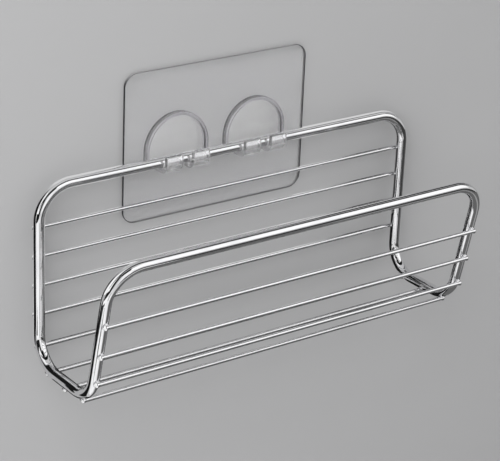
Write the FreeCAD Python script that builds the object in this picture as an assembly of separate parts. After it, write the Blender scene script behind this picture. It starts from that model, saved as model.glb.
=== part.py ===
"""Wire sponge holder hung on a clear adhesive hook pad.

A closed loop of thick round wire is bent into a basket with a tall back and a lower, leaning front.
Thin cross wires are welded to the outside of the loop. The back rail lies in two clear moulded hooks,
which sit on a clear sheet that an adhesive film holds to the wall.

Millimetres and degrees. +X runs to the right along the wall, +Y into the wall and +Z up.
The origin is the middle of the adhesive's back face, on the wall.
"""
import FreeCAD, Part
import math
import os

from FreeCAD import Vector

# Clear pad on the wall
PAD_WIDTH = 78.6
PAD_HEIGHT = 56.0
PAD_CORNER_RADIUS = 5.0
SHEET_THICKNESS = 0.8
ADHESIVE_THICKNESS = 0.5
ADHESIVE_INSET = 0.2

# Clear hooks, a little left of the pad's middle: an arched plate with a raised rim, and two claws
# that carry the rail
HOOK_SPACING = 34.0
HOOK_SHIFT = -0.8
HOOK_WIDTH = 26.6
HOOK_ARCH_RISE = 16.2
HOOK_PLATE_THICKNESS = 1.0
HOOK_FOOT_RADIUS = 2.0
RIM_WIDTH = 1.3
RIM_HEIGHT = 2.1
RIM_EDGE_RADIUS = 0.4
CLAW_WIDTH = 7.0
CLAW_GAP = 4.4
CLAW_THICKNESS = 1.8
CLAW_LIP_RISE = 1.9
CLAW_EDGE_RADIUS = 0.4

# Basket loop, measured on the wire's centre line
LOOP_WIRE_DIAMETER = 4.0
LOOP_WIDTH = 161.0
BACK_HEIGHT = 65.7
FRONT_HEIGHT = 51.9
BOTTOM_DEPTH = 34.4
FRONT_LEAN = 12.4
LOOP_CORNER_RADIUS = 12.5
REAR_BEND_RADIUS = 11.5
FRONT_BEND_RADIUS = 12.0

# Cross wires, placed along the loop's side; the inner front one hangs a little below the even spacing
CROSS_WIRE_DIAMETER = 1.6
CROSS_WIRE_OVERHANG = 1.0
CROSS_WIRE_END_CHAMFER = 0.2
WELD_SINK = 0.3
BACK_WIRE_COUNT = 5
LAST_BACK_WIRE_ANGLE = 24.5
REAR_BEND_WIRE_ANGLE = 68.0
FRONT_BEND_WIRE_ANGLE = 21.7
FRONT_WIRE_COUNT = 3
FRONT_WIRE_DROP = 20.3
INNER_FRONT_WIRE_SAG = 0.5
LAST_FRONT_WIRE_LEAD = 2.8

# How the basket hangs: its back rail below and to the right of the pad's middle, clear of the hooks,
# and free to be lifted before the first back wire meets the claws from below
RAIL_DROP = 4.7
RAIL_SHIFT = 4.1
RAIL_TO_CLAW = 0.3
RAIL_TO_RIM = 0.9
LIFT_TRAVEL = 9.0
LIFT_CLEARANCE = 1.5

# Worked out from the sizes above: the hooks and the rail
SHEET_FACE_Y = -(ADHESIVE_THICKNESS + SHEET_THICKNESS)
LOOP_RADIUS = LOOP_WIRE_DIAMETER / 2
CROSS_RADIUS = CROSS_WIRE_DIAMETER / 2
RAIL_Y = SHEET_FACE_Y - RIM_HEIGHT - RAIL_TO_RIM - LOOP_RADIUS
RAIL_Z = -RAIL_DROP
CLAW_INNER_RADIUS = LOOP_RADIUS + RAIL_TO_CLAW
CLAW_OUTER_RADIUS = CLAW_INNER_RADIUS + CLAW_THICKNESS
HOOK_FOOT_Z = RAIL_Z - CLAW_OUTER_RADIUS
HOOK_TOP_Z = RAIL_Z + HOOK_ARCH_RISE

# Worked out: the corners of the loop
SIDE_X = (RAIL_SHIFT - LOOP_WIDTH / 2, RAIL_SHIFT + LOOP_WIDTH / 2)
BOTTOM_Z = RAIL_Z - BACK_HEIGHT
BOTTOM_FRONT_Y = RAIL_Y - BOTTOM_DEPTH
FRONT_RAIL_Y = BOTTOM_FRONT_Y - FRONT_HEIGHT * math.tan(math.radians(FRONT_LEAN))
FRONT_RAIL_Z = BOTTOM_Z + FRONT_HEIGHT

# Worked out: lengths along the loop's side, from the back rail's centre line to the ends of its bends
FRONT_BEND_TURN = math.radians(90 - FRONT_LEAN)
FRONT_SETBACK = FRONT_BEND_RADIUS * math.tan(FRONT_BEND_TURN / 2)
REAR_BEND_START = BACK_HEIGHT - REAR_BEND_RADIUS
REAR_BEND_END = REAR_BEND_START + REAR_BEND_RADIUS * math.radians(90)
FRONT_BEND_START = REAR_BEND_END + BOTTOM_DEPTH - REAR_BEND_RADIUS - FRONT_SETBACK
FRONT_BEND_END = FRONT_BEND_START + FRONT_BEND_RADIUS * FRONT_BEND_TURN
FRONT_RAIL_STATION = FRONT_BEND_END + FRONT_HEIGHT / math.cos(math.radians(FRONT_LEAN)) - FRONT_SETBACK
BACK_WIRE_DROP = CLAW_OUTER_RADIUS + LIFT_TRAVEL + LIFT_CLEARANCE + CROSS_RADIUS

TOUCHING = 1e-6


def one_solid(shape):
    """The single solid of a shape, with its flush faces merged."""
    merged = shape.removeSplitter()
    if len(merged.Solids) != 1 or not merged.isValid():
        raise ValueError("the pieces did not join into one solid")
    return merged.Solids[0]


def corner_arc(before, corner, after, radius):
    """Start, middle, end and centre of the arc that rounds the corner between two straight runs."""
    to_before = (before - corner).normalize()
    to_after = (after - corner).normalize()
    half_angle = to_before.getAngle(to_after) / 2
    setback = radius / math.tan(half_angle)
    inward = (to_before + to_after).normalize()
    centre = corner + inward * (radius / math.sin(half_angle))
    return corner + to_before * setback, centre - inward * radius, corner + to_after * setback, centre


def wall_outline(corners, radii, y):
    """A flat face at depth y whose (x, z) corners are rounded by radii, with 0 for a sharp one."""
    points = [Vector(x, y, z) for x, z in corners]
    count = len(points)
    arcs = [corner_arc(points[i - 1], points[i], points[(i + 1) % count], radii[i]) for i in range(count)]
    edges = []
    for i, (start, middle, end, _) in enumerate(arcs):
        if radii[i] > 0:
            edges.append(Part.Arc(start, middle, end).toShape())
        next_start = arcs[(i + 1) % count][0]
        if end.distanceToPoint(next_start) > TOUCHING:
            edges.append(Part.LineSegment(end, next_start).toShape())
    return Part.Face(Part.Wire(edges))


def pad_layer(inset, back_y, thickness):
    """One layer of the pad: a rounded rectangle, inset from the pad's edge."""
    half_width = PAD_WIDTH / 2 - inset
    half_height = PAD_HEIGHT / 2 - inset
    corners = [
        (-half_width, -half_height),
        (half_width, -half_height),
        (half_width, half_height),
        (-half_width, half_height),
    ]
    face = wall_outline(corners, [PAD_CORNER_RADIUS - inset] * 4, back_y)
    return face.extrude(Vector(0, -thickness, 0))


def arch_block(centre_x, inset, foot_z, foot_radius, height):
    """A round-topped block on the sheet's face, inset at its sides and top, that starts at foot_z."""
    half_width = HOOK_WIDTH / 2 - inset
    top_z = HOOK_TOP_Z - inset
    corners = [
        (centre_x - half_width, foot_z),
        (centre_x + half_width, foot_z),
        (centre_x + half_width, top_z),
        (centre_x - half_width, top_z),
    ]
    arch_radius = min(half_width, top_z - foot_z - foot_radius)
    face = wall_outline(corners, [foot_radius, foot_radius, arch_radius, arch_radius], SHEET_FACE_Y)
    return face.extrude(Vector(0, -height, 0))


def claw(left_x):
    """A J-shaped claw from the hook's plate, under the rail and up its front."""
    tip_radius = CLAW_THICKNESS / 2
    inner_back_y = RAIL_Y + CLAW_INNER_RADIUS
    inner_front_y = RAIL_Y - CLAW_INNER_RADIUS
    outer_front_y = RAIL_Y - CLAW_OUTER_RADIUS
    lip_z = RAIL_Z + CLAW_LIP_RISE
    outer_turn = CLAW_OUTER_RADIUS * math.sqrt(0.5)

    def at(y, z):
        return Vector(left_x, y, z)

    root_top = at(SHEET_FACE_Y, RAIL_Z)
    inner_back = at(inner_back_y, RAIL_Z)
    inner_front = at(inner_front_y, RAIL_Z)
    lip_back = at(inner_front_y, lip_z)
    lip_front = at(outer_front_y, lip_z)
    outer_front = at(outer_front_y, RAIL_Z)
    outer_low = at(RAIL_Y, HOOK_FOOT_Z)
    root_low = at(SHEET_FACE_Y, HOOK_FOOT_Z)
    edges = [
        Part.LineSegment(root_top, inner_back),
        Part.Arc(inner_back, at(RAIL_Y, RAIL_Z - CLAW_INNER_RADIUS), inner_front),
        Part.LineSegment(inner_front, lip_back),
        Part.Arc(lip_back, at(inner_front_y - tip_radius, lip_z + tip_radius), lip_front),
        Part.LineSegment(lip_front, outer_front),
        Part.Arc(outer_front, at(RAIL_Y - outer_turn, RAIL_Z - outer_turn), outer_low),
        Part.LineSegment(outer_low, root_low),
        Part.LineSegment(root_low, root_top),
    ]
    profile = Part.Face(Part.Wire([edge.toShape() for edge in edges]))
    block = profile.extrude(Vector(CLAW_WIDTH, 0, 0))
    side_edges = [edge for edge in block.Edges if edge.BoundBox.XLength < TOUCHING]
    # The tip, the lip's face and the turn below it: all of the outer edge that lies in front of the rail
    front_edges = [
        edge
        for edge in side_edges
        if edge.BoundBox.YMax < RAIL_Y + TOUCHING and edge.BoundBox.YMin < inner_front_y - TOUCHING
    ]
    return block.makeFillet(min(CLAW_EDGE_RADIUS, tip_radius / 2), front_edges)


def rim(centre_x):
    """The raised rim round a hook's arch, open at the foot, with its front edges rounded."""
    block = arch_block(centre_x, 0, HOOK_FOOT_Z, HOOK_FOOT_RADIUS, RIM_HEIGHT)
    inside = arch_block(centre_x, RIM_WIDTH, HOOK_FOOT_Z - HOOK_FOOT_RADIUS, 0, RIM_HEIGHT)
    band = block.cut(inside)
    front_y = SHEET_FACE_Y - RIM_HEIGHT
    front_edges = [edge for edge in band.Edges if edge.BoundBox.YMax < front_y + TOUCHING]
    return band.makeFillet(min(RIM_EDGE_RADIUS, RIM_WIDTH / 3, RIM_HEIGHT / 3), front_edges)


def hook(centre_x):
    """A clear hook: arched plate, raised rim and a pair of claws."""
    plate = arch_block(centre_x, 0, HOOK_FOOT_Z, HOOK_FOOT_RADIUS, HOOK_PLATE_THICKNESS)
    left_claw = claw(centre_x - CLAW_GAP / 2 - CLAW_WIDTH)
    right_claw = claw(centre_x + CLAW_GAP / 2)
    return one_solid(plate.fuse([rim(centre_x), left_claw, right_claw]))


def bent_loop(corners, radii, wire_radius):
    """A closed round wire along straight runs, with an arc of the given radius at each corner."""
    count = len(corners)
    pieces = []
    starts = []
    ends = []
    for i, corner in enumerate(corners):
        before = corners[i - 1]
        start, _, end, centre = corner_arc(before, corner, corners[(i + 1) % count], radii[i])
        section = Part.Face(Part.Wire(Part.makeCircle(wire_radius, start, start - before)))
        turn = math.degrees((start - centre).getAngle(end - centre))
        pieces.append(section.revolve(centre, (start - centre).cross(start - before), turn))
        starts.append(start)
        ends.append(end)
    for i in range(count):
        run = starts[(i + 1) % count] - ends[i]
        pieces.append(Part.makeCylinder(wire_radius, run.Length, ends[i], run))
    return one_solid(pieces[0].fuse(pieces[1:]))


def basket_loop():
    """The thick wire: back rail, two sides that turn under and forward, and front rail."""
    left_x, right_x = SIDE_X
    corners = [
        Vector(left_x, RAIL_Y, RAIL_Z),
        Vector(right_x, RAIL_Y, RAIL_Z),
        Vector(right_x, RAIL_Y, BOTTOM_Z),
        Vector(right_x, BOTTOM_FRONT_Y, BOTTOM_Z),
        Vector(right_x, FRONT_RAIL_Y, FRONT_RAIL_Z),
        Vector(left_x, FRONT_RAIL_Y, FRONT_RAIL_Z),
        Vector(left_x, BOTTOM_FRONT_Y, BOTTOM_Z),
        Vector(left_x, RAIL_Y, BOTTOM_Z),
    ]
    radii = [
        LOOP_CORNER_RADIUS,
        LOOP_CORNER_RADIUS,
        REAR_BEND_RADIUS,
        FRONT_BEND_RADIUS,
        LOOP_CORNER_RADIUS,
        LOOP_CORNER_RADIUS,
        FRONT_BEND_RADIUS,
        REAR_BEND_RADIUS,
    ]
    return bent_loop(corners, radii, LOOP_RADIUS)


def side_at(station):
    """The point of the loop's side at a length from the back rail, and the outward direction there."""
    if station <= REAR_BEND_START:
        return Vector(0, RAIL_Y, RAIL_Z - station), Vector(0, 1, 0)
    if station <= REAR_BEND_END:
        angle = (station - REAR_BEND_START) / REAR_BEND_RADIUS
        outward = Vector(0, math.cos(angle), -math.sin(angle))
        centre = Vector(0, RAIL_Y - REAR_BEND_RADIUS, BOTTOM_Z + REAR_BEND_RADIUS)
        return centre + outward * REAR_BEND_RADIUS, outward
    front_bend_y = BOTTOM_FRONT_Y + FRONT_SETBACK
    if station <= FRONT_BEND_START:
        return Vector(0, front_bend_y + FRONT_BEND_START - station, BOTTOM_Z), Vector(0, 0, -1)
    angle = min((station - FRONT_BEND_START) / FRONT_BEND_RADIUS, FRONT_BEND_TURN)
    outward = Vector(0, -math.sin(angle), -math.cos(angle))
    centre = Vector(0, front_bend_y, BOTTOM_Z + FRONT_BEND_RADIUS)
    up_the_leg = Vector(0, -math.cos(angle), math.sin(angle)) * max(0, station - FRONT_BEND_END)
    return centre + outward * FRONT_BEND_RADIUS + up_the_leg, outward


def evenly(first, last, count):
    """Stations from first to last, evenly spaced."""
    step = (last - first) / max(count - 1, 1)
    return [first + step * i for i in range(count)]


def cross_wire_stations():
    """Each cross wire's name and its station along the loop's side."""
    last_back = REAR_BEND_START + REAR_BEND_RADIUS * math.radians(LAST_BACK_WIRE_ANGLE)
    first_front = FRONT_RAIL_STATION - FRONT_WIRE_DROP
    last_front = FRONT_BEND_END - FRONT_BEND_RADIUS * math.radians(LAST_FRONT_WIRE_LEAD)
    stations = {}
    for i, station in enumerate(evenly(BACK_WIRE_DROP, last_back, BACK_WIRE_COUNT)):
        stations[f"back_wire_{i + 1}"] = station
    stations["rear_bend_wire"] = REAR_BEND_START + REAR_BEND_RADIUS * math.radians(REAR_BEND_WIRE_ANGLE)
    stations["bottom_wire"] = (REAR_BEND_END + FRONT_BEND_START) / 2
    stations["front_bend_wire"] = FRONT_BEND_START + FRONT_BEND_RADIUS * math.radians(FRONT_BEND_WIRE_ANGLE)
    for i, station in enumerate(evenly(first_front, last_front, FRONT_WIRE_COUNT)):
        inner = 0 < i < FRONT_WIRE_COUNT - 1
        stations[f"front_wire_{i + 1}"] = station - (INNER_FRONT_WIRE_SAG if inner else 0)
    return stations


def cross_wire(station, loop):
    """A thin wire across the basket, its two welds sunk a little into the outside of the loop."""
    side_point, outward = side_at(station)
    axis_point = side_point + outward * (LOOP_RADIUS + CROSS_RADIUS - WELD_SINK)
    start = Vector(SIDE_X[0] - CROSS_WIRE_OVERHANG, axis_point.y, axis_point.z)
    length = LOOP_WIDTH + 2 * CROSS_WIRE_OVERHANG
    wire = Part.makeCylinder(CROSS_RADIUS, length, start, Vector(1, 0, 0))
    end_edges = [edge for edge in wire.Edges if edge.BoundBox.XLength < TOUCHING]
    return one_solid(wire.makeChamfer(CROSS_WIRE_END_CHAMFER, end_edges).cut(loop))


def build_parts():
    """Every piece of the holder, by name."""
    loop = basket_loop()
    parts = {
        "adhesive_film": pad_layer(ADHESIVE_INSET, 0, ADHESIVE_THICKNESS),
        "clear_sheet": pad_layer(0, -ADHESIVE_THICKNESS, SHEET_THICKNESS),
        "hook_left": hook(HOOK_SHIFT - HOOK_SPACING / 2),
        "hook_right": hook(HOOK_SHIFT + HOOK_SPACING / 2),
        "basket_loop": loop,
    }
    for name, station in cross_wire_stations().items():
        parts[name] = cross_wire(station, loop)
    return parts


os.makedirs("parts", exist_ok=True)
for node, shape in build_parts().items():
    shape.exportStep(f"parts/{node}.step")
    print(f"{node}: {len(shape.Solids)} solid, {shape.Volume:.1f} mm3")
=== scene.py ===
"""Wire sponge holder: a polished steel wire basket that hangs in two clear hooks on a clear adhesive pad.

Metres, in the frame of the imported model: +X right along the wall, +Y into the wall, +Z up.
"""

import math

import bmesh
import bpy
from bpy.props import FloatProperty, FloatVectorProperty, IntProperty, PointerProperty
from mathutils import Matrix, Vector, noise


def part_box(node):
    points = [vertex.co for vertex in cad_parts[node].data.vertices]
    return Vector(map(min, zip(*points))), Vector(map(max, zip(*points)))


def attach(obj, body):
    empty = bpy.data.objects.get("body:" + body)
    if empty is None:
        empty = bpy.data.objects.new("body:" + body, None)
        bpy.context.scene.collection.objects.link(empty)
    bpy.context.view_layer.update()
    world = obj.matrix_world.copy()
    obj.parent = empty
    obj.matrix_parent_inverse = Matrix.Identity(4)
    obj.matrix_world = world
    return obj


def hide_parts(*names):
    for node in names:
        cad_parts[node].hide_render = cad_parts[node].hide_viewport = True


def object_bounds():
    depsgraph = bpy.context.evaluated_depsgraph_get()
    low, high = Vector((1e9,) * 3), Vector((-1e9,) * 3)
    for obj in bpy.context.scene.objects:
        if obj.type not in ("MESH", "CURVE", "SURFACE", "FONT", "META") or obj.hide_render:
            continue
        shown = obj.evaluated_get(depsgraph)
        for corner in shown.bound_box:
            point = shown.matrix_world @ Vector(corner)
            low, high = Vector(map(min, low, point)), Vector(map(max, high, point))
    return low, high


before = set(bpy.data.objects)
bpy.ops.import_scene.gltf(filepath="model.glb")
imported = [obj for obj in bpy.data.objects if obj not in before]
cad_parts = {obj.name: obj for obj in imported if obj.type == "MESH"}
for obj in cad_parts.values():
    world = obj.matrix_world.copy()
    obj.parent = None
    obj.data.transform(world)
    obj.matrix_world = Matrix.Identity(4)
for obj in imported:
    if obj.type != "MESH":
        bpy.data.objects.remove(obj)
cad_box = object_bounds()

bl_info = {
    "name": "Wire Sponge Holder",
    "version": (1, 0, 0),
    "blender": (4, 5, 0),
    "location": "View3D > Sidebar > Sponge Holder",
    "description": "Dresses the frame of a wire sponge holder with its steel and clear plastic",
    "category": "Add Mesh",
}

MM = 0.001
PAD_BODY = "wall_pad"
BASKET_BODY = "basket"
STEEL_SLOT = "polished_steel"
HOOK_NODES = ("hook_left", "hook_right")
CROSS_WIRE_NODES = [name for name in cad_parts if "wire" in name]

# Meshes of the wires and beads. The fine steps are for finding the welds
WIRE_UV = "wire_run"
ARC_STEP = math.radians(2.5)
RUN_STEP = 5 * MM
FINE_ARC_STEP = math.radians(1)
FINE_RUN_STEP = 0.5 * MM
DOME_STEPS = 8
SQUEEZE_STEPS = 4
BEAD_UNEVENNESS = 0.14
BEAD_NOISE_SCALE = 1.7
BEAD_NOISE_SHIFT = 3.1

# Clear layers and hooks. A hook's zones are soft steps between two distances ahead of the sheet; the seam
# and claw zones and the inner wall's reach place painted shade on the hook
EDGE_SLOT = 1
EDGE_STEPS = 4
FLAT_BAND = 0.5 * MM
SEAM_ZONE = (0.8 * MM, 0.4 * MM)
PLATE_ZONE = (1.6 * MM, 1.4 * MM)
CLAW_ZONE = (2.2 * MM, 2.6 * MM)
INNER_WALL_REACH = 0.6 * MM
ARCH_SOFTNESS = 0.3 * MM
CLOUD_SHADE = 0.97

# Stage, in metres
STAGE_REACH = 1.2
WALL_TOP = 0.45
SOFTBOX_PLACE = (0.55, -0.85, 0.54)
SOFTBOX_SIZE = (1.6, 1.0)
KEY_PLACE = (-0.75, -0.45, 0.55)
KEY_SIZE = (0.8, 0.8)
WALL_GAP = 0.1 * MM
FLOOR_CARD_STEP = 1 * MM
FLOOR_FADE = 0.015

# Cards that show in reflections alone, and give the polished wires their bands
CARD_TONES = {"black": 0.012, "dark": 0.05, "grey": 0.14, "soft": 0.35, "pale": 0.75, "white": 1.08}
# On the floor, each a step above the one before: tone, left, right, front, back, lean
FLOOR_CARDS = {
    "bounce_front": ("white", -0.50, -0.06, -0.34, -0.03, 0),
    "flag_left": ("black", -0.36, -0.275, -0.15, 0, 0),
    "line_front_leg": ("grey", -0.235, -0.175, -0.152, -0.108, 0),
    "line_back_leg": ("grey", -0.205, -0.141, -0.44, -0.26, -0.07),
    "flag_near": ("grey", -0.045, 1.1, -0.24, 0, 0),
    "flag_far": ("dark", 0.17, 1.1, -1.1, -0.24, 0),
    "flag_far_left": ("dark", -0.05, 0.20, -1.1, -0.375, 0),
    "flag_under_rail": ("dark", 0.096, 0.20, -0.38, -0.24, 0.055),
    "bounce_right": ("soft", 0.15, 0.27, -0.20, -0.145, 0),
}
# On the wall, side by side: tone, left, right, low, high, fade
WALL_CARDS = {
    "flag_beside_leg": ("black", -0.115, -0.0797, -0.067, 0.01, 0.0003),
    "flag_low_left": ("black", -0.30, -0.1008, -0.19, -0.067, 0.0003),
    "flag_below": ("black", -0.0848, 0.13, -0.19, -0.086, 0.0003),
    "glow_run_left": ("pale", -0.0796, -0.0695, -0.067, -0.03, 0.001),
    "flag_between_runs": ("black", -0.069, 0.0538, -0.0855, -0.0555, 0.001),
    "flag_run_right": ("black", 0.0542, 0.0837, -0.078, -0.0495, 0.001),
    "flag_right_leg": ("dark", 0.0635, 0.0842, -0.049, -0.004, 0.004),
    "glow_above_rail": ("pale", -0.08, 0.10, -0.004, 0.025, 0.01),
    "glow_behind": ("pale", -0.065, 0.063, -0.055, -0.004, 0.02),
    "flag_above_right": ("dark", 0.06, 0.30, 0.025, 0.15, 0.01),
    "glow_above_left": ("white", -0.45, -0.117, -0.03, 0.30, 0.01),
}
# Level, above the holder: tone, left, right, front, back, lean, height
HIGH_CARDS = {
    "flag_above": ("black", -0.5, 0.9, -0.08, -0.045, 0, 0.073),
    "flag_roof": ("black", -0.55, -0.12, -0.80, -0.30, 0, 0.50),
}
# Upright, far in front of the holder: tone, left, right, low, high, fade
FRONT_CARDS = {"glow_front": ("white", -0.60, 0.15, -0.19, 0.90, 0.05)}
FRONT_CARD_Y = -1.15
# Upright, at the left side of the holder: tone, front, back, low, high
SIDE_CARDS = {
    "glow_side": ("white", -0.25, 0, -0.01, 0.62),
    "flag_side_low": ("black", -0.25, 0, -0.19, -0.01),
    "flag_side_front": ("black", -0.65, -0.25, -0.19, 0.62),
}
SIDE_CARD_X = -0.55
SIDE_CARD_ENDS = 1.0


def length_property(name, description, default):
    """A length in metres that a user may change."""
    return FloatProperty(
        name=name, description=description, default=default, unit="LENGTH", min=0, precision=5
    )


def angle_property(name, description, degrees):
    """An angle that a user may change, given in degrees."""
    return FloatProperty(name=name, description=description, default=math.radians(degrees), subtype="ANGLE")


def colour_property(name, description, default):
    """A colour that a user may change."""
    return FloatVectorProperty(
        name=name, description=description, default=default, subtype="COLOR", size=3, min=0, max=1
    )


def share_property(name, description, default):
    """A share between 0 and 1 that a user may change."""
    return FloatProperty(name=name, description=description, default=default, subtype="FACTOR", min=0, max=1)


class SteelSettings(bpy.types.PropertyGroup):
    """Sizes and finish of the steel wires."""

    loop_diameter: length_property("Loop wire", "Diameter of the thick wire", 4.0 * MM)
    corner_radius: length_property("Rail corners", "Radius at the ends of both rails", 12.5 * MM)
    rear_bend_radius: length_property("Rear bend", "Radius where the back legs turn forward", 11.5 * MM)
    front_bend_radius: length_property("Front bend", "Radius where the bottom turns up", 12.0 * MM)
    bottom_depth: length_property("Bottom depth", "From the back legs to the front legs' foot", 34.4 * MM)
    front_lean: angle_property("Front lean", "How far the front legs lean out", 12.4)
    end_dome: length_property("Wire end dome", "How far a cross wire's cut end is rounded", 0.6 * MM)
    end_bulge: length_property("Wire end bulge", "How far a cross wire's end is squeezed out", 0.22 * MM)
    end_length: length_property("Wire end length", "How much of a cross wire's end is squeezed", 1.8 * MM)
    bead_length: length_property("Weld length", "Half length of a weld along the cross wire", 1.5 * MM)
    bead_width: length_property("Weld width", "Half width of a weld across the cross wire", 1.1 * MM)
    bead_height: length_property("Weld height", "Half height of a weld off the loop", 0.5 * MM)
    loop_sides: IntProperty(name="Loop sides", description="Faces round the thick wire", default=48, min=8)
    cross_sides: IntProperty(name="Cross sides", description="Faces round a cross wire", default=32, min=8)
    bright: colour_property("Bright steel", "Colour of the clean polish", (0.84, 0.84, 0.85))
    dull: colour_property("Dull steel", "Colour where the polish is worn", (0.74, 0.74, 0.76))
    # The cut ends' pale colour is partly a painted highlight
    cut: colour_property("Cut steel", "Colour of the thin wires' cut ends", (0.93, 0.93, 0.93))
    gloss_roughness: share_property("Polish roughness", "Roughness of the clean polish", 0.03)


class PadSettings(bpy.types.PropertyGroup):
    """Sizes and finish of the clear hooks, sheet and film."""

    corner_radius: length_property("Pad corners", "Corner radius of the sheet", 5.0 * MM)
    edge_round: length_property("Edge round", "Radius of the layers' edges", 0.12 * MM)
    layer_gap: length_property("Layer gap", "Half of the gap between two clear layers", 0.01 * MM)
    sheet_tint: colour_property("Sheet", "Colour of the clear sheet", (0.84, 0.84, 0.845))
    bonded_tint: colour_property("Bonded sheet", "Colour of the sheet behind a hook", (0.97, 0.97, 0.97))
    # Painted shade on the layers' upright cut edges and painted light on their level ones
    painted_side_shade: colour_property("Side edge", "Colour of a layer's upright cut edges", (0.012, 0.012, 0.014))
    painted_top_light: colour_property("Top edge", "Colour of a layer's level cut edges", (0.30, 0.30, 0.305))
    hook_tint: colour_property("Hooks", "Colour of the clear hooks", (0.97, 0.97, 0.975))
    # Painted shade on the hooks: the rim's front, the outer walls, the claws' sides, the rim's inner wall
    # and the seam
    painted_rim_shade: colour_property("Hook rims", "Colour of the raised rim's front", (0.68, 0.67, 0.70))
    painted_wall_shade: colour_property("Hook walls", "Colour of the hooks' outer walls", (0.13, 0.125, 0.135))
    painted_claw_shade: colour_property("Claws", "Colour of the claws' sides", (0.60, 0.60, 0.61))
    painted_inner_shade: colour_property("Rim inside", "Colour of the rim's inner wall", (0.22, 0.21, 0.23))
    painted_seam_shade: colour_property("Hook seams", "Colour where a hook meets the sheet", (0.02, 0.02, 0.022))
    rim_width: length_property("Rim width", "Width of the raised rim round a hook", 1.3 * MM)
    wall_clearness: share_property("Wall clearness", "How far one sees through a hook's walls", 0.30)
    claw_clearness: share_property("Claw clearness", "How far one sees through a claw", 0.12)
    plate_clearness: share_property("Plate clearness", "How far one sees through a hook's plate", 0.6)
    bond_clearness: share_property("Bond clearness", "How far one sees through the bonded sheet", 0.7)
    film_clearness: share_property("Film clearness", "How far one sees through the film", 0.5)
    film_tint: colour_property("Film", "Colour of the adhesive film", (0.97, 0.97, 0.97))
    sheet_haze: share_property("Sheet haze", "Roughness of the sheet", 0.10)
    film_haze: share_property("Film haze", "Roughness of the adhesive film", 0.25)


class StageSettings(bpy.types.PropertyGroup):
    """Camera, backdrop and light."""

    camera_place: FloatVectorProperty(
        name="Camera",
        description="Where the camera stands",
        default=(-0.3859, -0.5397, 0.2402),
        subtype="XYZ",
        size=3,
    )
    camera_azimuth: angle_property("Azimuth", "How far the camera stands round to the right", -36.82)
    camera_elevation: angle_property("Elevation", "How far the camera looks down", 22.76)
    camera_roll: angle_property("Roll", "How far the camera's right side is raised", 2.48)
    camera_lens: FloatProperty(name="Lens", description="Focal length in millimetres", default=140.46)
    wall_colour: colour_property("Wall", "Colour of the backdrop", (0.50, 0.50, 0.505))
    floor_colour: colour_property("Floor", "Colour of the floor", (0.72, 0.72, 0.72))
    floor_drop: length_property("Floor drop", "How far the floor lies below the basket", 120 * MM)
    room_light: share_property("Room light", "Strength of the even light from all round", 0.60)
    softbox_power: FloatProperty(name="Softbox", description="Power of the softbox in watts", default=2.9)
    key_power: FloatProperty(name="Key light", description="Power of the key light in watts", default=8.0)


class Socket:
    """An output socket of a shader tree. Arithmetic on it adds Math nodes."""

    def __init__(self, shader, output):
        self.shader = shader
        self.output = output

    def math(self, operation, *values):
        """A Math node on this socket and the other values."""
        return self.shader.maths(operation, self, *values)

    def __add__(self, other):
        return self.shader.maths("ADD", self, other)

    def __radd__(self, other):
        return self.shader.maths("ADD", other, self)

    def __sub__(self, other):
        return self.shader.maths("SUBTRACT", self, other)

    def __rsub__(self, other):
        return self.shader.maths("SUBTRACT", other, self)

    def __mul__(self, other):
        return self.shader.maths("MULTIPLY", self, other)

    def __rmul__(self, other):
        return self.shader.maths("MULTIPLY", other, self)


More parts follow.
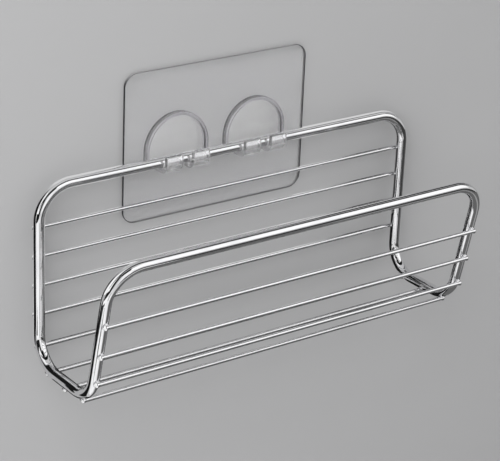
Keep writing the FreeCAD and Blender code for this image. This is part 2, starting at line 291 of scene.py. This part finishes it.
class Shader:
    """The node tree of a material or world."""

    def __init__(self, owner):
        owner.use_nodes = True
        self.owner = owner
        self.tree = owner.node_tree
        self.tree.nodes.clear()

    def node(self, kind, settings=None, inputs=None, output=0):
        """A new node with its settings and inputs, given as one of its output sockets."""
        made = self.tree.nodes.new(kind)
        for key, value in (settings or {}).items():
            setattr(made, key, value)
        for key, value in (inputs or {}).items():
            socket = self.find(made.inputs, key)
            if isinstance(value, Socket):
                self.tree.links.new(value.output, socket)
            else:
                socket.default_value = value
        if not made.outputs:
            return made
        return Socket(self, self.find(made.outputs, output))

    @staticmethod
    def find(sockets, key):
        """The socket with this number, identifier or name."""
        if isinstance(key, int):
            return sockets[key]
        for socket in sockets:
            if key in (socket.identifier, socket.name):
                return socket
        raise KeyError(key)

    def maths(self, operation, *values):
        """A Math node on sockets and numbers."""
        return self.node("ShaderNodeMath", {"operation": operation}, dict(enumerate(values)))

    def mix(self, factor, first, second):
        """A blend of two colours."""
        inputs = {"Factor_Float": factor, "A_Color": rgba(first), "B_Color": rgba(second)}
        return self.node("ShaderNodeMix", {"data_type": "RGBA"}, inputs, "Result_Color")

    def vector(self, x, y, z):
        """A vector from three values."""
        return self.node("ShaderNodeCombineXYZ", None, {"X": x, "Y": y, "Z": z})

    def part(self, vector, axis):
        """One of a vector's three values."""
        return self.node("ShaderNodeSeparateXYZ", None, {"Vector": vector}, axis)

    def place(self):
        """Where a point lies, in its object's axes."""
        return self.node("ShaderNodeTexCoord", None, None, "Object")

    def facing(self, axis):
        """How far the surface faces along one of its object's axes."""
        return self.part(self.node("ShaderNodeTexCoord", None, None, "Normal"), axis)

    def noise(self, vector, scale, detail=2.0, roughness=0.5):
        """Cloudy noise between 0 and 1."""
        inputs = {"Vector": vector, "Scale": scale, "Detail": detail, "Roughness": roughness}
        return self.node("ShaderNodeTexNoise", None, inputs, "Fac")

    def ramp(self, value, start, end):
        """A share that goes from 0 at start to 1 at end."""
        inputs = {"Value": value, "From Min": start, "From Max": end}
        return self.node("ShaderNodeMapRange", None, inputs)

    def bump(self, height, strength, distance):
        """A normal that follows a height."""
        inputs = {"Height": height, "Strength": strength, "Distance": distance}
        return self.node("ShaderNodeBump", None, inputs)

    def surface(self, **sockets):
        """The Principled surface that closes a material's tree."""
        inputs = {key.replace("_", " "): value for key, value in sockets.items()}
        return self.node("ShaderNodeBsdfPrincipled", None, inputs)

    def close(self, surface):
        """Links a surface to the tree's output, and gives the finished material."""
        self.node("ShaderNodeOutputMaterial", None, {"Surface": surface})
        return self.owner


def rgba(colour):
    """A colour with alpha, or a socket as it is."""
    return colour if isinstance(colour, Socket) else (*colour, 1.0)


def shaded(colour):
    """The slightly darker colour of a material's clouds."""
    return [channel * CLOUD_SHADE for channel in colour]


def wire_steel(name, steel):
    """Drawn and polished steel wire: faint drawing lines, a soft polish ripple and dull smears."""
    shader = Shader(bpy.data.materials.new(name))
    uv = shader.node("ShaderNodeUVMap", {"uv_map": WIRE_UV})
    turn = shader.part(uv, "X") * math.tau
    run = shader.part(uv, "Y")
    across = turn.math("COSINE")
    around = turn.math("SINE")
    lines = shader.noise(shader.vector(across, around, run * 0.03), scale=9.0, detail=3.0, roughness=0.6)
    ripple = shader.noise(shader.vector(across, around, run), scale=1.6, detail=1.0)
    smears = shader.noise(shader.vector(across * 0.5, around * 0.5, run * 0.12), scale=1.3, detail=3.0)
    worn = shader.ramp(smears, start=0.52, end=0.72)
    roughness = steel.gloss_roughness + lines * 0.04 + worn * 0.05
    height = ripple * 0.7 + lines * 0.3
    return shader.close(
        shader.surface(
            Base_Color=shader.mix(worn, steel.bright, steel.dull),
            Metallic=1.0,
            Roughness=roughness,
            Normal=shader.bump(height, strength=0.12, distance=0.05 * MM),
        )
    )


def weld_steel(steel):
    """Fused metal at a weld: pitted and a little duller than the wire."""
    shader = Shader(bpy.data.materials.new("weld_steel"))
    place = shader.place()
    pits = shader.noise(place, scale=1400.0, detail=3.0, roughness=0.6)
    tarnish = shader.noise(place, scale=420.0, detail=2.0)
    return shader.close(
        shader.surface(
            Base_Color=shader.mix(tarnish, steel.dull, steel.bright),
            Metallic=1.0,
            Roughness=0.12 + pits * 0.2,
            Normal=shader.bump(pits, strength=0.3, distance=0.08 * MM),
        )
    )


def cut_steel(steel):
    """The sheared end of a thin wire: matt and grainy, and painted pale as a highlight."""
    shader = Shader(bpy.data.materials.new("cut_steel"))
    place = shader.place()
    grain = shader.noise(place, scale=2200.0, detail=3.0, roughness=0.6)
    return shader.close(
        shader.surface(
            Base_Color=shader.mix(grain, steel.cut, steel.bright),
            Metallic=0.2,
            Roughness=0.35 + grain * 0.2,
            Normal=shader.bump(grain, strength=0.25, distance=0.04 * MM),
        )
    )


def film_gel(pad):
    """Soft clear adhesive: cloudy, with the slight ripple of a gel."""
    shader = Shader(bpy.data.materials.new("film_clear"))
    place = shader.place()
    cloud = shader.noise(place, scale=160.0, detail=3.0)
    ripple = shader.noise(place, scale=400.0, detail=2.0)
    return shader.close(
        shader.surface(
            Base_Color=shader.mix(cloud, pad.film_tint, shaded(pad.film_tint)),
            Alpha=1 - pad.film_clearness,
            Roughness=pad.film_haze + cloud * 0.2,
            IOR=1.42,
            Transmission_Weight=1.0,
            Normal=shader.bump(ripple, strength=0.25, distance=0.05 * MM),
        )
    )


def inside_arch(shader, place, inset):
    """A share that is 1 within either hook's arch, inset from its outline."""
    x = shader.part(place, "X")
    z = shader.part(place, "Z")
    low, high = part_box("hook_right")
    middle_x = (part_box("hook_left")[0].x + high.x) / 2
    arch_radius = (high.x - low.x) / 2
    aside = (x - middle_x).math("ABSOLUTE") - ((low.x + high.x) / 2 - middle_x)
    above = (z - (high.z - arch_radius)).math("MAXIMUM", 0.0)
    offset = shader.vector(aside, 0.0, above)
    out = shader.node("ShaderNodeVectorMath", {"operation": "LENGTH"}, {0: offset}, "Value")
    inside = shader.ramp(out, start=arch_radius - inset, end=arch_radius - inset - ARCH_SOFTNESS)
    return inside * shader.ramp(z, start=low.z, end=low.z + ARCH_SOFTNESS)


def hook_plastic(pad):
    """Clear moulded plastic with painted shade on its rim's front, side walls, rim's inner wall, claws and
    seam with the sheet, standing in for the dark look of thick clear edges.
    """
    shader = Shader(bpy.data.materials.new("moulded_clear"))
    place = shader.place()
    wall = shader.ramp(shader.facing("Y").math("ABSOLUTE"), start=0.8, end=0.3)
    depth = shader.part(place, "Y")
    sheet_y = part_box("clear_sheet")[0].y
    seam, plate_depth, claw = (
        shader.ramp(depth, start=sheet_y - begin, end=sheet_y - finish)
        for begin, finish in (SEAM_ZONE, PLATE_ZONE, CLAW_ZONE)
    )
    rim = 1 - inside_arch(shader, place, pad.rim_width)
    plate = plate_depth * (1 - wall) * (1 - rim)
    inner = inside_arch(shader, place, pad.rim_width - INNER_WALL_REACH)
    cloud = shader.noise(place, scale=160.0, detail=3.0)
    ripple = shader.noise(place, scale=90.0, detail=2.0)
    # Painted shade: greyer on the rim's front, dark on the outer walls, darkest at the seam, grey on the
    # inner rim wall and the claws' sides
    front = shader.mix(rim, pad.hook_tint, pad.painted_rim_shade)
    outer = shader.mix(seam, pad.painted_wall_shade, pad.painted_seam_shade)
    walls = shader.mix(claw, shader.mix(inner, outer, pad.painted_inner_shade), pad.painted_claw_shade)
    see_through = wall * (1 - seam) * (1 - inner) * pad.wall_clearness
    return shader.close(
        shader.surface(
            Base_Color=shader.mix(wall, front, walls),
            Alpha=1 - see_through - plate * pad.plate_clearness - claw * pad.claw_clearness,
            Roughness=0.06 + cloud * 0.05 + wall * 0.10,
            IOR=1.49,
            Transmission_Weight=1.0,
            Normal=shader.bump(ripple, strength=0.25, distance=0.02 * MM),
        )
    )


def cut_edge(pad):
    """The cut edge of a clear layer: painted shade makes it dark at its sides, and painted light makes it
    paler where it faces up.
    """
    shader = Shader(bpy.data.materials.new("layer_cut_edge"))
    place = shader.place()
    level = shader.ramp(shader.facing("Z"), start=0.3, end=0.9)
    grain = shader.noise(place, scale=900.0, detail=2.0)
    return shader.close(
        shader.surface(
            # Painted shade at the upright sides, painted light where the edge faces up
            Base_Color=shader.mix(level, pad.painted_side_shade, pad.painted_top_light),
            Roughness=0.35 + grain * 0.2,
            Specular_IOR_Level=0.2,
            Normal=shader.bump(grain, strength=0.25, distance=0.02 * MM),
        )
    )


def sheet_plastic(pad):
    """Matt clear sheet, which turns clearer where a hook is bonded to its face."""
    shader = Shader(bpy.data.materials.new("sheet_clear"))
    place = shader.place()
    bonded = inside_arch(shader, place, 0.0)
    grain = shader.noise(place, scale=2600.0, detail=2.0)
    cloud = shader.noise(place, scale=140.0, detail=3.0)
    return shader.close(
        shader.surface(
            Base_Color=shader.mix(bonded, pad.sheet_tint, pad.bonded_tint),
            Alpha=1 - inside_arch(shader, place, pad.rim_width) * pad.bond_clearness,
            Roughness=(pad.sheet_haze + cloud * 0.08) * (1 - bonded * 0.8),
            IOR=1.45,
            Transmission_Weight=1.0,
            Normal=shader.bump(grain * (1 - bonded), strength=0.2, distance=0.01 * MM),
        )
    )


def backdrop(name, colour):
    """Matt backdrop that shows only from its front, so that the views from behind see past it."""
    shader = Shader(bpy.data.materials.new(name))
    place = shader.place()
    cloud = shader.noise(place, scale=14.0, detail=3.0)
    matt = shader.surface(
        Base_Color=shader.mix(cloud, colour, shaded(colour)),
        Roughness=0.85,
        Specular_IOR_Level=0.0,
    )
    behind = shader.node("ShaderNodeNewGeometry", None, None, "Backfacing")
    nothing = shader.node("ShaderNodeBsdfTransparent")
    return shader.close(shader.node("ShaderNodeMixShader", None, {0: behind, 1: matt, 2: nothing}))


def card_glow(name, tone, left, right, fade, back=0.0, slope=0.0):
    """The even glow of a studio card, dark or light, which fades out at its left and right ends."""
    shader = Shader(bpy.data.materials.new(name))
    place = shader.place()
    across = shader.part(place, "X") - (back - shader.part(place, "Y")) * slope
    left_end = shader.ramp(across, start=left, end=left + fade)
    right_end = shader.ramp(across, start=right, end=right - fade)
    glow = shader.node("ShaderNodeEmission", None, {"Color": (1, 1, 1, 1), "Strength": CARD_TONES[tone]})
    nothing = shader.node("ShaderNodeBsdfTransparent")
    faded = {0: left_end * right_end, 1: nothing, 2: glow}
    return shader.close(shader.node("ShaderNodeMixShader", None, faded))


def add_piece(name, mesh, material, body, slot, replaced):
    """A finished piece that rides on a body and stands for the CAD nodes it replaces."""
    piece = bpy.data.objects.new(name, mesh)
    bpy.context.scene.collection.objects.link(piece)
    mesh.materials.append(material)
    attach(piece, body)
    if replaced:
        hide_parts(*replaced)
    return piece


def mesh_from(bm, name):
    """A smooth mesh from a bmesh, which is freed."""
    bmesh.ops.recalc_face_normals(bm, faces=bm.faces)
    for face in bm.faces:
        face.smooth = True
    mesh = bpy.data.meshes.new(name)
    bm.to_mesh(mesh)
    bm.free()
    return mesh


def skin(bm, rings, runs, closed):
    """Faces between rings of points, with the turn and the run along the wire as their UV map."""
    layer = bm.loops.layers.uv.new(WIRE_UV)
    sides = len(rings[0])
    rows = [[bm.verts.new(point) for point in ring] for ring in rings]
    spans = len(rows) if closed else len(rows) - 1
    for i in range(spans):
        near, far = rows[i], rows[(i + 1) % len(rows)]
        for j in range(sides):
            k = (j + 1) % sides
            face = bm.faces.new((near[j], near[k], far[k], far[j]))
            corners = ((j, i), (j + 1, i), (j + 1, i + 1), (j, i + 1))
            for loop, (turn, row) in zip(face.loops, corners):
                loop[layer].uv = (turn / sides, runs[row])
    if not closed:
        bm.faces.new(rows[0])
        bm.faces.new(rows[-1])


def ring(centre, first, second, radius, sides):
    """Points round a centre in the plane of two directions."""
    angles = [math.tau * j / sides for j in range(sides)]
    return [centre + (first * math.cos(a) + second * math.sin(a)) * radius for a in angles]


def loop_corners(steel):
    """The loop's corners on its centre line, each with its bend radius."""
    low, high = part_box("basket_loop")
    wire = Vector.Fill(3, steel.loop_diameter / 2)
    low, high = low + wire, high - wire
    foot_y = high.y - steel.bottom_depth
    front_z = low.z + (foot_y - low.y) / math.tan(steel.front_lean)
    side = [
        (high.y, high.z, steel.corner_radius),
        (high.y, low.z, steel.rear_bend_radius),
        (foot_y, low.z, steel.front_bend_radius),
        (low.y, front_z, steel.corner_radius),
    ]
    right = [(Vector((high.x, y, z)), radius) for y, z, radius in side]
    left = [(Vector((low.x, y, z)), radius) for y, z, radius in reversed(side)]
    return right + left


def rounded_path(corners, arc_step, run_step):
    """Points and directions along a closed path of straight runs and arcs."""
    count = len(corners)
    points = []
    directions = []
    for i, (corner, radius) in enumerate(corners):
        before, after = corners[i - 1][0], corners[(i + 1) % count][0]
        to_before, to_after = (before - corner).normalized(), (after - corner).normalized()
        half_angle = to_before.angle(to_after) / 2
        setback = radius / math.tan(half_angle)
        start, end = corner + to_before * setback, corner + to_after * setback
        centre = corner + (to_before + to_after).normalized() * radius / math.sin(half_angle)
        turn = math.pi - 2 * half_angle
        axis = (start - centre).cross(-to_before)
        steps = max(2, round(turn / arc_step))
        for j in range(steps + 1):
            spin = Matrix.Rotation(turn * j / steps, 3, axis)
            points.append(centre + spin @ (start - centre))
            directions.append(spin @ -to_before)
        next_radius = corners[(i + 1) % count][1]
        next_after = corners[(i + 2) % count][0]
        next_half = (-to_after).angle((next_after - after).normalized()) / 2
        run_end = after - to_after * next_radius / math.tan(next_half)
        run_length = (run_end - end).length
        pieces = max(1, round(run_length / run_step))
        for j in range(1, pieces):
            points.append(end.lerp(run_end, j / pieces))
            directions.append(to_after.copy())
    return points, directions


def untwisted_normals(directions):
    """A side direction at each point of a closed path, turning as little as possible and meeting itself."""
    normals = [directions[0].orthogonal().normalized()]
    for before, after in zip(directions, directions[1:] + directions[:1]):
        normals.append(before.rotation_difference(after) @ normals[-1])
    last = normals.pop()
    twist = math.atan2(last.cross(normals[0]).dot(directions[0]), last.dot(normals[0]))
    count = len(normals)
    return [
        Matrix.Rotation(twist * i / count, 3, directions[i]) @ normal for i, normal in enumerate(normals)
    ]


def loop_mesh(steel):
    """The thick wire's mesh."""
    radius = steel.loop_diameter / 2
    points, directions = rounded_path(loop_corners(steel), ARC_STEP, RUN_STEP)
    normals = untwisted_normals(directions)
    rings = [
        ring(point, normal, direction.cross(normal), radius, steel.loop_sides)
        for point, direction, normal in zip(points, directions, normals)
    ]
    runs = [0.0]
    for before, after in zip(points, points[1:] + points[:1]):
        runs.append(runs[-1] + (after - before).length / radius)
    bm = bmesh.new()
    skin(bm, rings, runs, closed=True)
    return mesh_from(bm, "basket_loop_polished")


def cross_wire_mesh(node, steel):
    """A straight thin wire whose cut ends are squeezed out a little and slightly domed."""
    low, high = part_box(node)
    centre = (low + high) / 2
    radius = (high.z - low.z) / 2
    dome = steel.end_dome
    wide = radius + steel.end_bulge
    profile = []
    for step in range(1, DOME_STEPS + 1):
        lift = math.radians(90 * step / DOME_STEPS)
        profile.append((dome * (1 - math.cos(lift)), wide * math.sin(lift)))
    for step in range(1, SQUEEZE_STEPS + 1):
        share = step / SQUEEZE_STEPS
        inset = dome + (steel.end_length - dome) * share
        profile.append((inset, radius + steel.end_bulge * (1 + math.cos(math.pi * share)) / 2))
    half = [(low.x + inset, size) for inset, size in profile]
    other = [(high.x - inset, size) for inset, size in reversed(profile)]
    stations = half + other
    rings = [
        ring(Vector((x, centre.y, centre.z)), Vector((0, 1, 0)), Vector((0, 0, 1)), size, steel.cross_sides)
        for x, size in stations
    ]
    bm = bmesh.new()
    skin(bm, rings, [(x - low.x) / radius for x, _ in stations], closed=False)
    for face in bm.faces:
        middle_x = face.calc_center_median().x
        face.material_index = int(min(middle_x - low.x, high.x - middle_x) < dome / 2)
    return mesh_from(bm, f"{node}_polished")


def weld_points(steel):
    """Where each cross wire meets the loop: the point on the loop's surface and its outward direction."""
    points, _ = rounded_path(loop_corners(steel), FINE_ARC_STEP, FINE_RUN_STEP)
    radius = steel.loop_diameter / 2
    side_x = {corner.x for corner, _ in loop_corners(steel)}
    for node in CROSS_WIRE_NODES:
        low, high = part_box(node)
        centre = (low + high) / 2
        for x in sorted(side_x):
            crossing = Vector((x, centre.y, centre.z))
            nearest = min(points, key=lambda point: (point - crossing).length)
            outward = Vector((0, crossing.y - nearest.y, crossing.z - nearest.z)).normalized()
            yield nearest + outward * radius, outward


def weld_mesh(steel):
    """Small uneven beads of fused metal at every crossing."""
    bm = bmesh.new()
    along = Vector((1, 0, 0))
    for i, (place, outward) in enumerate(weld_points(steel)):
        across = outward.cross(along)
        made = bmesh.ops.create_icosphere(bm, subdivisions=3, radius=1.0)
        for vert in made["verts"]:
            seed = vert.co * BEAD_NOISE_SCALE + Vector((i * BEAD_NOISE_SHIFT, 0, 0))
            spot = vert.co * (1 + BEAD_UNEVENNESS * noise.noise(seed))
            vert.co = (
                place
                + along * spot.x * steel.bead_length
                + across * spot.y * steel.bead_width
                + outward * spot.z * steel.bead_height
            )
    return mesh_from(bm, "weld_beads")


def rounded_outline(half_width, half_height, radius, y, steps=14):
    """Points of a rounded rectangle at depth y, anticlockwise from its right side seen from the front."""
    points = []
    for quarter, (sign_x, sign_z) in enumerate(((1, 1), (-1, 1), (-1, -1), (1, -1))):
        centre = Vector((sign_x * (half_width - radius), y, sign_z * (half_height - radius)))
        for j in range(steps + 1):
            angle = math.radians(90) * (quarter + j / steps)
            points.append(centre + Vector((math.cos(angle), 0, math.sin(angle))) * radius)
    return points


def layer_mesh(node, pad, corner_radius):
    """A flat clear layer with softly rounded edges, which have a material slot of their own."""
    low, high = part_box(node)
    half_width, half_height = (high.x - low.x) / 2, (high.z - low.z) / 2
    middle = Vector(((low.x + high.x) / 2, 0, (low.z + high.z) / 2))
    back, front = high.y - pad.layer_gap, low.y + pad.layer_gap
    edge = pad.edge_round
    angles = [math.radians(90) * j / EDGE_STEPS for j in range(EDGE_STEPS + 1)]
    profile = [(edge + FLAT_BAND, back)]
    for angle in angles:
        profile.append((edge * (1 - math.sin(angle)), back - edge * (1 - math.cos(angle))))
    for angle in angles:
        profile.append((edge * (1 - math.cos(angle)), front + edge * (1 - math.sin(angle))))
    profile.append((edge + FLAT_BAND, front))
    bm = bmesh.new()
    rows = []
    for inset, y in profile:
        outline = rounded_outline(half_width - inset, half_height - inset, corner_radius - inset, y)
        rows.append([bm.verts.new(point + middle) for point in outline])
    count = len(rows[0])
    for i, (near, far) in enumerate(zip(rows, rows[1:])):
        for j in range(count):
            k = (j + 1) % count
            face = bm.faces.new((near[j], near[k], far[k], far[j]))
            face.material_index = EDGE_SLOT if 0 < i < len(rows) - 2 else 0
    bm.faces.new(rows[0])
    bm.faces.new(rows[-1])
    return mesh_from(bm, f"{node}_clear")


def flat_card(name, corners, material):
    """A flat four-cornered stage card."""
    mesh = bpy.data.meshes.new(name)
    mesh.from_pydata(corners, [], [tuple(range(len(corners)))])
    mesh.materials.append(material)
    card = bpy.data.objects.new(name, mesh)
    bpy.context.scene.collection.objects.link(card)
    return card


def level_corners(left, right, front, back, z, lean=0.0):
    """Corners of a level card that faces up, with its front edge shifted sideways by the lean."""
    return [(left + lean, front, z), (right + lean, front, z), (right, back, z), (left, back, z)]


def upright_corners(left, right, low, high, y):
    """Corners of an upright card that faces the front."""
    return [(left, y, low), (right, y, low), (right, y, high), (left, y, high)]


def level_card(name, tone, left, right, front, back, lean, z):
    """A level card that shows in reflections alone."""
    glow = card_glow(name, tone, left, right, FLOOR_FADE, back, lean / (back - front))
    reflection_only(flat_card(name, level_corners(left, right, front, back, z, lean), glow))


def upright_card(name, tone, left, right, low, high, fade, y):
    """An upright card that shows in reflections alone."""
    glow = card_glow(name, tone, left, right, fade)
    reflection_only(flat_card(name, upright_corners(left, right, low, high, y), glow))


def side_card(name, tone, front, back, low, high, x):
    """An upright card at the side that shows in reflections alone, too far from its ends to fade."""
    glow = card_glow(name, tone, x - SIDE_CARD_ENDS, x + SIDE_CARD_ENDS, FLOOR_FADE)
    corners = [(x, front, low), (x, back, low), (x, back, high), (x, front, high)]
    reflection_only(flat_card(name, corners, glow))


def reflection_only(card):
    """Lets a card show in reflections and nowhere else."""
    card.visible_camera = False
    card.visible_diffuse = False
    card.visible_transmission = False
    card.visible_shadow = False


def area_light(name, place, size, power, target):
    """A soft rectangular lamp at a place off its target, and aimed at it."""
    lamp = bpy.data.lights.new(name, "AREA")
    lamp.shape = "RECTANGLE"
    lamp.size, lamp.size_y = size
    lamp.energy = power
    holder = bpy.data.objects.new(name, lamp)
    holder.location = target + Vector(place)
    holder.rotation_mode = "QUATERNION"
    holder.rotation_quaternion = (-Vector(place)).to_track_quat("-Z", "Y")
    bpy.context.scene.collection.objects.link(holder)
    return holder


def add_camera(stage):
    """The camera at the photograph's angle."""
    azimuth, elevation = stage.camera_azimuth, stage.camera_elevation
    back = Vector(
        (
            math.sin(azimuth) * math.cos(elevation),
            -math.cos(azimuth) * math.cos(elevation),
            math.sin(elevation),
        )
    )
    level = Vector((0, 0, 1)).cross(back).normalized()
    upright = back.cross(level)
    roll = stage.camera_roll
    right = level * math.cos(roll) + upright * math.sin(roll)
    up = upright * math.cos(roll) - level * math.sin(roll)
    data = bpy.data.cameras.new("camera")
    data.lens = stage.camera_lens
    camera = bpy.data.objects.new("camera", data)
    turned = Matrix((right, up, back)).transposed().to_4x4()
    camera.matrix_world = Matrix.Translation(stage.camera_place) @ turned
    bpy.context.scene.collection.objects.link(camera)
    bpy.context.scene.camera = camera


class HOLDER_OT_basket_loop(bpy.types.Operator):
    """Bends the thick polished wire of the basket"""

    bl_idname = "holder.basket_loop"
    bl_label = "Basket Loop"

    def execute(self, context):
        steel = context.scene.holder_steel
        material = wire_steel("polished_loop", steel)
        mesh = loop_mesh(steel)
        add_piece("basket_loop_polished", mesh, material, BASKET_BODY, STEEL_SLOT, ["basket_loop"])
        return {"FINISHED"}


class HOLDER_OT_cross_wires(bpy.types.Operator):
    """Lays the thin wires across the basket"""

    bl_idname = "holder.cross_wires"
    bl_label = "Cross Wires"

    def execute(self, context):
        steel = context.scene.holder_steel
        material = wire_steel("polished_cross_wire", steel)
        cut_end = cut_steel(steel)
        for node in CROSS_WIRE_NODES:
            mesh = cross_wire_mesh(node, steel)
            wire = add_piece(f"{node}_polished", mesh, material, BASKET_BODY, STEEL_SLOT, [node])
            wire.data.materials.append(cut_end)
        return {"FINISHED"}


class HOLDER_OT_weld_beads(bpy.types.Operator):
    """Puts a bead of fused metal at each crossing of the wires"""

    bl_idname = "holder.weld_beads"
    bl_label = "Weld Beads"

    def execute(self, context):
        steel = context.scene.holder_steel
        add_piece("weld_beads", weld_mesh(steel), weld_steel(steel), BASKET_BODY, STEEL_SLOT, [])
        return {"FINISHED"}


class HOLDER_OT_hooks(bpy.types.Operator):
    """Gives both moulded hooks their clear plastic"""

    bl_idname = "holder.hooks"
    bl_label = "Hooks"

    def execute(self, context):
        pad = context.scene.holder_pad
        material = hook_plastic(pad)
        for node in HOOK_NODES:
            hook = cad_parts[node]
            hook.material_slots[0].material = material
            hook.visible_shadow = False
        return {"FINISHED"}


class HOLDER_OT_pad(bpy.types.Operator):
    """Lays the clear sheet and the adhesive film behind it"""

    bl_idname = "holder.pad"
    bl_label = "Sheet and Film"

    def execute(self, context):
        pad = context.scene.holder_pad
        layer_cut = cut_edge(pad)
        layers = (
            ("clear_sheet", "clear_sheet_cut", sheet_plastic(pad), "clear_sheet_plastic"),
            ("adhesive_film", "adhesive_film_gel", film_gel(pad), "clear_adhesive"),
        )
        for node, name, material, slot in layers:
            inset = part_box(node)[0].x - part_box("clear_sheet")[0].x
            mesh = layer_mesh(node, pad, pad.corner_radius - inset)
            layer = add_piece(name, mesh, material, PAD_BODY, slot, [node])
            layer.data.materials.append(layer_cut)
            layer.visible_shadow = False
        return {"FINISHED"}


class HOLDER_OT_stage(bpy.types.Operator):
    """Sets the camera, the plain backdrop and the soft light"""

    bl_idname = "holder.stage"
    bl_label = "Stage"

    def execute(self, context):
        stage = context.scene.holder_stage
        context.scene.view_settings.view_transform = "Standard"
        low, high = cad_box
        wall_y = high.y + WALL_GAP
        floor_z = low.z - stage.floor_drop
        wall = upright_corners(-STAGE_REACH, STAGE_REACH, floor_z, WALL_TOP, wall_y)
        flat_card("backdrop_wall", wall, backdrop("wall_paint", stage.wall_colour))
        floor = level_corners(-STAGE_REACH, STAGE_REACH, -STAGE_REACH, wall_y, floor_z)
        flat_card("backdrop_floor", floor, backdrop("floor_paint", stage.floor_colour))
        for i, (name, card) in enumerate(FLOOR_CARDS.items()):
            level_card(name, *card, floor_z + (i + 1) * FLOOR_CARD_STEP)
        for name, card in WALL_CARDS.items():
            upright_card(name, *card, high.y - WALL_GAP)
        for name, card in HIGH_CARDS.items():
            level_card(name, *card)
        for name, card in FRONT_CARDS.items():
            upright_card(name, *card, FRONT_CARD_Y)
        for name, card in SIDE_CARDS.items():
            side_card(name, *card, SIDE_CARD_X)
        middle = (low + high) / 2
        softbox = area_light("softbox", SOFTBOX_PLACE, SOFTBOX_SIZE, stage.softbox_power, middle)
        softbox.visible_diffuse = False
        key = area_light("key_light", KEY_PLACE, KEY_SIZE, stage.key_power, middle)
        key.visible_glossy = False
        world = bpy.data.worlds.new("room_light")
        context.scene.world = world
        shader = Shader(world)
        even_light = {"Color": (1, 1, 1, 1), "Strength": stage.room_light}
        sky = shader.node("ShaderNodeBackground", None, even_light)
        shader.node("ShaderNodeOutputWorld", None, {"Surface": sky})
        add_camera(stage)
        return {"FINISHED"}


class HOLDER_PT_pieces(bpy.types.Panel):
    """The holder's pieces and their settings"""

    bl_idname = "HOLDER_PT_pieces"
    bl_label = "Sponge Holder"
    bl_space_type = "VIEW_3D"
    bl_region_type = "UI"
    bl_category = "Sponge Holder"

    def draw(self, context):
        for operator in OPERATORS:
            self.layout.operator(operator.bl_idname)
        for name, group in SETTINGS.items():
            box = self.layout.box()
            for setting in group.__annotations__:
                box.prop(getattr(context.scene, name), setting)


SETTINGS = {"holder_steel": SteelSettings, "holder_pad": PadSettings, "holder_stage": StageSettings}
OPERATORS = (
    HOLDER_OT_basket_loop,
    HOLDER_OT_cross_wires,
    HOLDER_OT_weld_beads,
    HOLDER_OT_hooks,
    HOLDER_OT_pad,
    HOLDER_OT_stage,
)


def register():
    """Makes the settings, operators and panel known."""
    for cls in (*SETTINGS.values(), *OPERATORS, HOLDER_PT_pieces):
        bpy.utils.register_class(cls)
    for name, group in SETTINGS.items():
        setattr(bpy.types.Scene, name, PointerProperty(type=group))


def unregister():
    """Takes them away again."""
    for name in SETTINGS:
        delattr(bpy.types.Scene, name)
    for cls in reversed((*SETTINGS.values(), *OPERATORS, HOLDER_PT_pieces)):
        bpy.utils.unregister_class(cls)


def main():
    """Builds every piece and the stage."""
    register()
    for operator in OPERATORS:
        group, name = operator.bl_idname.split(".")
        getattr(getattr(bpy.ops, group), name)()


if __name__ == "__main__":
    main()
